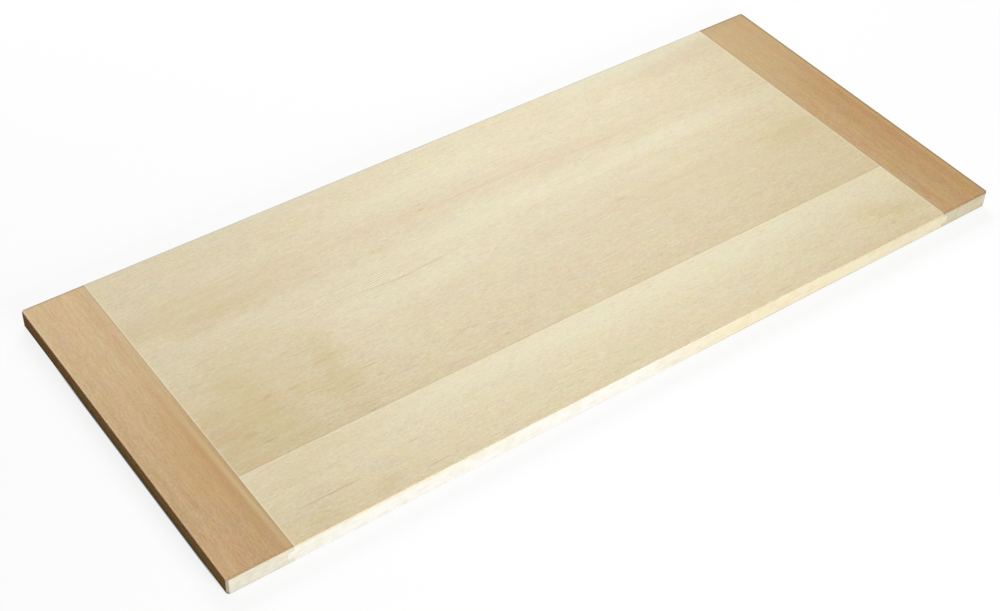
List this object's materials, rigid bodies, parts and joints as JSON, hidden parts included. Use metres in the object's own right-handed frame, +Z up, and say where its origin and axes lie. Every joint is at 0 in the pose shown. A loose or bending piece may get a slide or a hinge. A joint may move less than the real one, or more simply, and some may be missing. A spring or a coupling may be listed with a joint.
{
  "type": "noodle cutting board",
  "caption": "Long flat wooden board for rolling and cutting noodles: pale planks glued edge to edge, held flat by a darker grooved cap across each end.",
  "frame": {"origin": "middle of the underside, which rests on the table", "axes": "+X along the board to its right end, +Y across it from the near edge to the far edge, +Z up out of the work surface"},
  "size_m": [0.7, 0.3, 0.015],
  "materials": {
    "panel_wood": "matte",
    "cap_wood": "matte",
    "glue": "satin"
  },
  "bodies": {
    "root": {"front_plank": "panel_wood", "middle_plank": "panel_wood", "back_plank": "panel_wood", "left_end_cap": "cap_wood", "right_end_cap": "cap_wood", "front_glue_line": "glue", "back_glue_line": "glue", "left_glue_joint": "glue", "right_glue_joint": "glue"}
  },
  "joints": []
}
